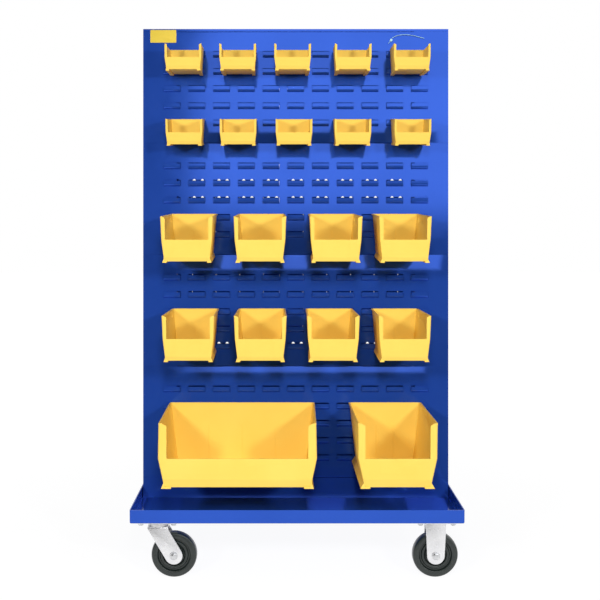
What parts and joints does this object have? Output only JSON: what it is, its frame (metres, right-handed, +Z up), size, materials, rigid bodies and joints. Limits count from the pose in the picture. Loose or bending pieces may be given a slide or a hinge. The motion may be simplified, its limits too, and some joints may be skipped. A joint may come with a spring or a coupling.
{
  "type": "a-frame bin cart",
  "caption": "Wheeled A-frame cart with louvered steel faces over a lipped tray, carrying hopper-front bins that hook on the louvers",
  "frame": {"origin": "on the ground, under the middle of the space that the cart and its bins take up", "axes": "+Z up, +X along the cart from its swivel casters to its rigid casters, -Y out of the face that holds the bins"},
  "size_m": [0.92, 0.8682, 1.5665],
  "materials": {
    "blue_paint": "semi-gloss powder coat, dark blue",
    "bin_plastic": "smooth moulded yellow polypropylene",
    "label_plate": "bare yellow plate",
    "tie_plastic": "pale blue plastic tie",
    "zinc_steel": "bright zinc plate",
    "wheel_rubber": "satin dark grey moulded rubber",
    "bush_bronze": "plain sintered bush",
    "bolt_steel": "zinc plated bolt"
  },
  "bodies": {
    "cart": {"axle_bolt_right_front": "bolt_steel", "axle_bolt_right_rear": "bolt_steel", "base_rail_front": "blue_paint", "base_rail_rear": "blue_paint", "end_brace_left_lower": "blue_paint", "end_brace_left_upper": "blue_paint", "end_brace_right_lower": "blue_paint", "end_brace_right_upper": "blue_paint", "label_plate": "label_plate", "louver_panel_front_1": "blue_paint", "louver_panel_front_2": "blue_paint", "louver_panel_front_3": "blue_paint", "louver_panel_front_4": "blue_paint", "louver_panel_rear_1": "blue_paint", "louver_panel_rear_2": "blue_paint", "louver_panel_rear_3": "blue_paint", "louver_panel_rear_4": "blue_paint", "plastic_tie": "tie_plastic", "rigid_fork_right_front": "zinc_steel", "rigid_fork_right_rear": "zinc_steel", "swivel_plate_left_front": "zinc_steel", "swivel_plate_left_rear": "zinc_steel", "top_cap": "blue_paint", "tray": "blue_paint", "upright_front_left": "blue_paint", "upright_front_right": "blue_paint", "upright_rear_left": "blue_paint", "upright_rear_right": "blue_paint"},
    "bin_small_r1_1": {"bin_small_r1_1": "bin_plastic"},
    "bin_small_r1_2": {"bin_small_r1_2": "bin_plastic"},
    "bin_small_r1_3": {"bin_small_r1_3": "bin_plastic"},
    "bin_small_r1_4": {"bin_small_r1_4": "bin_plastic"},
    "bin_small_r1_5": {"bin_small_r1_5": "bin_plastic"},
    "bin_small_r2_1": {"bin_small_r2_1": "bin_plastic"},
    "bin_small_r2_2": {"bin_small_r2_2": "bin_plastic"},
    "bin_small_r2_3": {"bin_small_r2_3": "bin_plastic"},
    "bin_small_r2_4": {"bin_small_r2_4": "bin_plastic"},
    "bin_small_r2_5": {"bin_small_r2_5": "bin_plastic"},
    "bin_medium_r3_1": {"bin_medium_r3_1": "bin_plastic"},
    "bin_medium_r3_2": {"bin_medium_r3_2": "bin_plastic"},
    "bin_medium_r3_3": {"bin_medium_r3_3": "bin_plastic"},
    "bin_medium_r3_4": {"bin_medium_r3_4": "bin_plastic"},
    "bin_medium_r4_1": {"bin_medium_r4_1": "bin_plastic"},
    "bin_medium_r4_2": {"bin_medium_r4_2": "bin_plastic"},
    "bin_medium_r4_3": {"bin_medium_r4_3": "bin_plastic"},
    "bin_medium_r4_4": {"bin_medium_r4_4": "bin_plastic"},
    "bin_wide_r5_1": {"bin_wide_r5_1": "bin_plastic"},
    "bin_large_r5_2": {"bin_large_r5_2": "bin_plastic"},
    "wheel_left_front": {"wheel_left_front": "wheel_rubber", "bush_left_front": "bush_bronze"},
    "swivel_left_front": {"swivel_fork_left_front": "zinc_steel", "axle_bolt_left_front": "bolt_steel"},
    "wheel_left_rear": {"wheel_left_rear": "wheel_rubber", "bush_left_rear": "bush_bronze"},
    "swivel_left_rear": {"swivel_fork_left_rear": "zinc_steel", "axle_bolt_left_rear": "bolt_steel"},
    "wheel_right_front": {"wheel_right_front": "wheel_rubber", "bush_right_front": "bush_bronze"},
    "wheel_right_rear": {"wheel_right_rear": "wheel_rubber", "bush_right_rear": "bush_bronze"}
  },
  "joints": [
    {"name": "bin_small_r1_1_lift", "type": "slide", "parent": "cart", "child": "bin_small_r1_1", "axis": [0, 0.0523, 0.9986], "range_m": [0, 0.012]},
    {"name": "bin_small_r1_2_lift", "type": "slide", "parent": "cart", "child": "bin_small_r1_2", "axis": [0, 0.0523, 0.9986], "range_m": [0, 0.012]},
    {"name": "bin_small_r1_3_lift", "type": "slide", "parent": "cart", "child": "bin_small_r1_3", "axis": [0, 0.0523, 0.9986], "range_m": [0, 0.012]},
    {"name": "bin_small_r1_4_lift", "type": "slide", "parent": "cart", "child": "bin_small_r1_4", "axis": [0, 0.0523, 0.9986], "range_m": [0, 0.012]},
    {"name": "bin_small_r1_5_lift", "type": "slide", "parent": "cart", "child": "bin_small_r1_5", "axis": [0, 0.0523, 0.9986], "range_m": [0, 0.012]},
    {"name": "bin_small_r2_1_lift", "type": "slide", "parent": "cart", "child": "bin_small_r2_1", "axis": [0, 0.0523, 0.9986], "range_m": [0, 0.012]},
    {"name": "bin_small_r2_2_lift", "type": "slide", "parent": "cart", "child": "bin_small_r2_2", "axis": [0, 0.0523, 0.9986], "range_m": [0, 0.012]},
    {"name": "bin_small_r2_3_lift", "type": "slide", "parent": "cart", "child": "bin_small_r2_3", "axis": [0, 0.0523, 0.9986], "range_m": [0, 0.012]},
    {"name": "bin_small_r2_4_lift", "type": "slide", "parent": "cart", "child": "bin_small_r2_4", "axis": [0, 0.0523, 0.9986], "range_m": [0, 0.012]},
    {"name": "bin_small_r2_5_lift", "type": "slide", "parent": "cart", "child": "bin_small_r2_5", "axis": [0, 0.0523, 0.9986], "range_m": [0, 0.012]},
    {"name": "bin_medium_r3_1_lift", "type": "slide", "parent": "cart", "child": "bin_medium_r3_1", "axis": [0, 0.0523, 0.9986], "range_m": [0, 0.012]},
    {"name": "bin_medium_r3_2_lift", "type": "slide", "parent": "cart", "child": "bin_medium_r3_2", "axis": [0, 0.0523, 0.9986], "range_m": [0, 0.012]},
    {"name": "bin_medium_r3_3_lift", "type": "slide", "parent": "cart", "child": "bin_medium_r3_3", "axis": [0, 0.0523, 0.9986], "range_m": [0, 0.012]},
    {"name": "bin_medium_r3_4_lift", "type": "slide", "parent": "cart", "child": "bin_medium_r3_4", "axis": [0, 0.0523, 0.9986], "range_m": [0, 0.012]},
    {"name": "bin_medium_r4_1_lift", "type": "slide", "parent": "cart", "child": "bin_medium_r4_1", "axis": [0, 0.0523, 0.9986], "range_m": [0, 0.012]},
    {"name": "bin_medium_r4_2_lift", "type": "slide", "parent": "cart", "child": "bin_medium_r4_2", "axis": [0, 0.0523, 0.9986], "range_m": [0, 0.012]},
    {"name": "bin_medium_r4_3_lift", "type": "slide", "parent": "cart", "child": "bin_medium_r4_3", "axis": [0, 0.0523, 0.9986], "range_m": [0, 0.012]},
    {"name": "bin_medium_r4_4_lift", "type": "slide", "parent": "cart", "child": "bin_medium_r4_4", "axis": [0, 0.0523, 0.9986], "range_m": [0, 0.012]},
    {"name": "bin_wide_r5_1_lift", "type": "slide", "parent": "cart", "child": "bin_wide_r5_1", "axis": [0, 0.0523, 0.9986], "range_m": [0, 0.012]},
    {"name": "bin_large_r5_2_lift", "type": "slide", "parent": "cart", "child": "bin_large_r5_2", "axis": [0, 0.0523, 0.9986], "range_m": [0, 0.012]},
    {"name": "swivel_left_front", "type": "hinge", "parent": "cart", "child": "swivel_left_front", "pos_m": [-0.387, -0.26493, 0.165], "axis": [0, 0, 1], "continuous": true},
    {"name": "spin_left_front", "type": "hinge", "parent": "swivel_left_front", "child": "wheel_left_front", "pos_m": [-0.343, -0.26493, 0.0635], "axis": [0, 1, 0], "continuous": true},
    {"name": "swivel_left_rear", "type": "hinge", "parent": "cart", "child": "swivel_left_rear", "pos_m": [-0.387, 0.37107, 0.165], "axis": [0, 0, 1], "continuous": true},
    {"name": "spin_left_rear", "type": "hinge", "parent": "swivel_left_rear", "child": "wheel_left_rear", "pos_m": [-0.343, 0.37107, 0.0635], "axis": [0, 1, 0], "continuous": true},
    {"name": "spin_right_front", "type": "hinge", "parent": "cart", "child": "wheel_right_front", "pos_m": [0.387, -0.26493, 0.0635], "axis": [0, 1, 0], "continuous": true},
    {"name": "spin_right_rear", "type": "hinge", "parent": "cart", "child": "wheel_right_rear", "pos_m": [0.387, 0.37107, 0.0635], "axis": [0, 1, 0], "continuous": true}
  ]
}
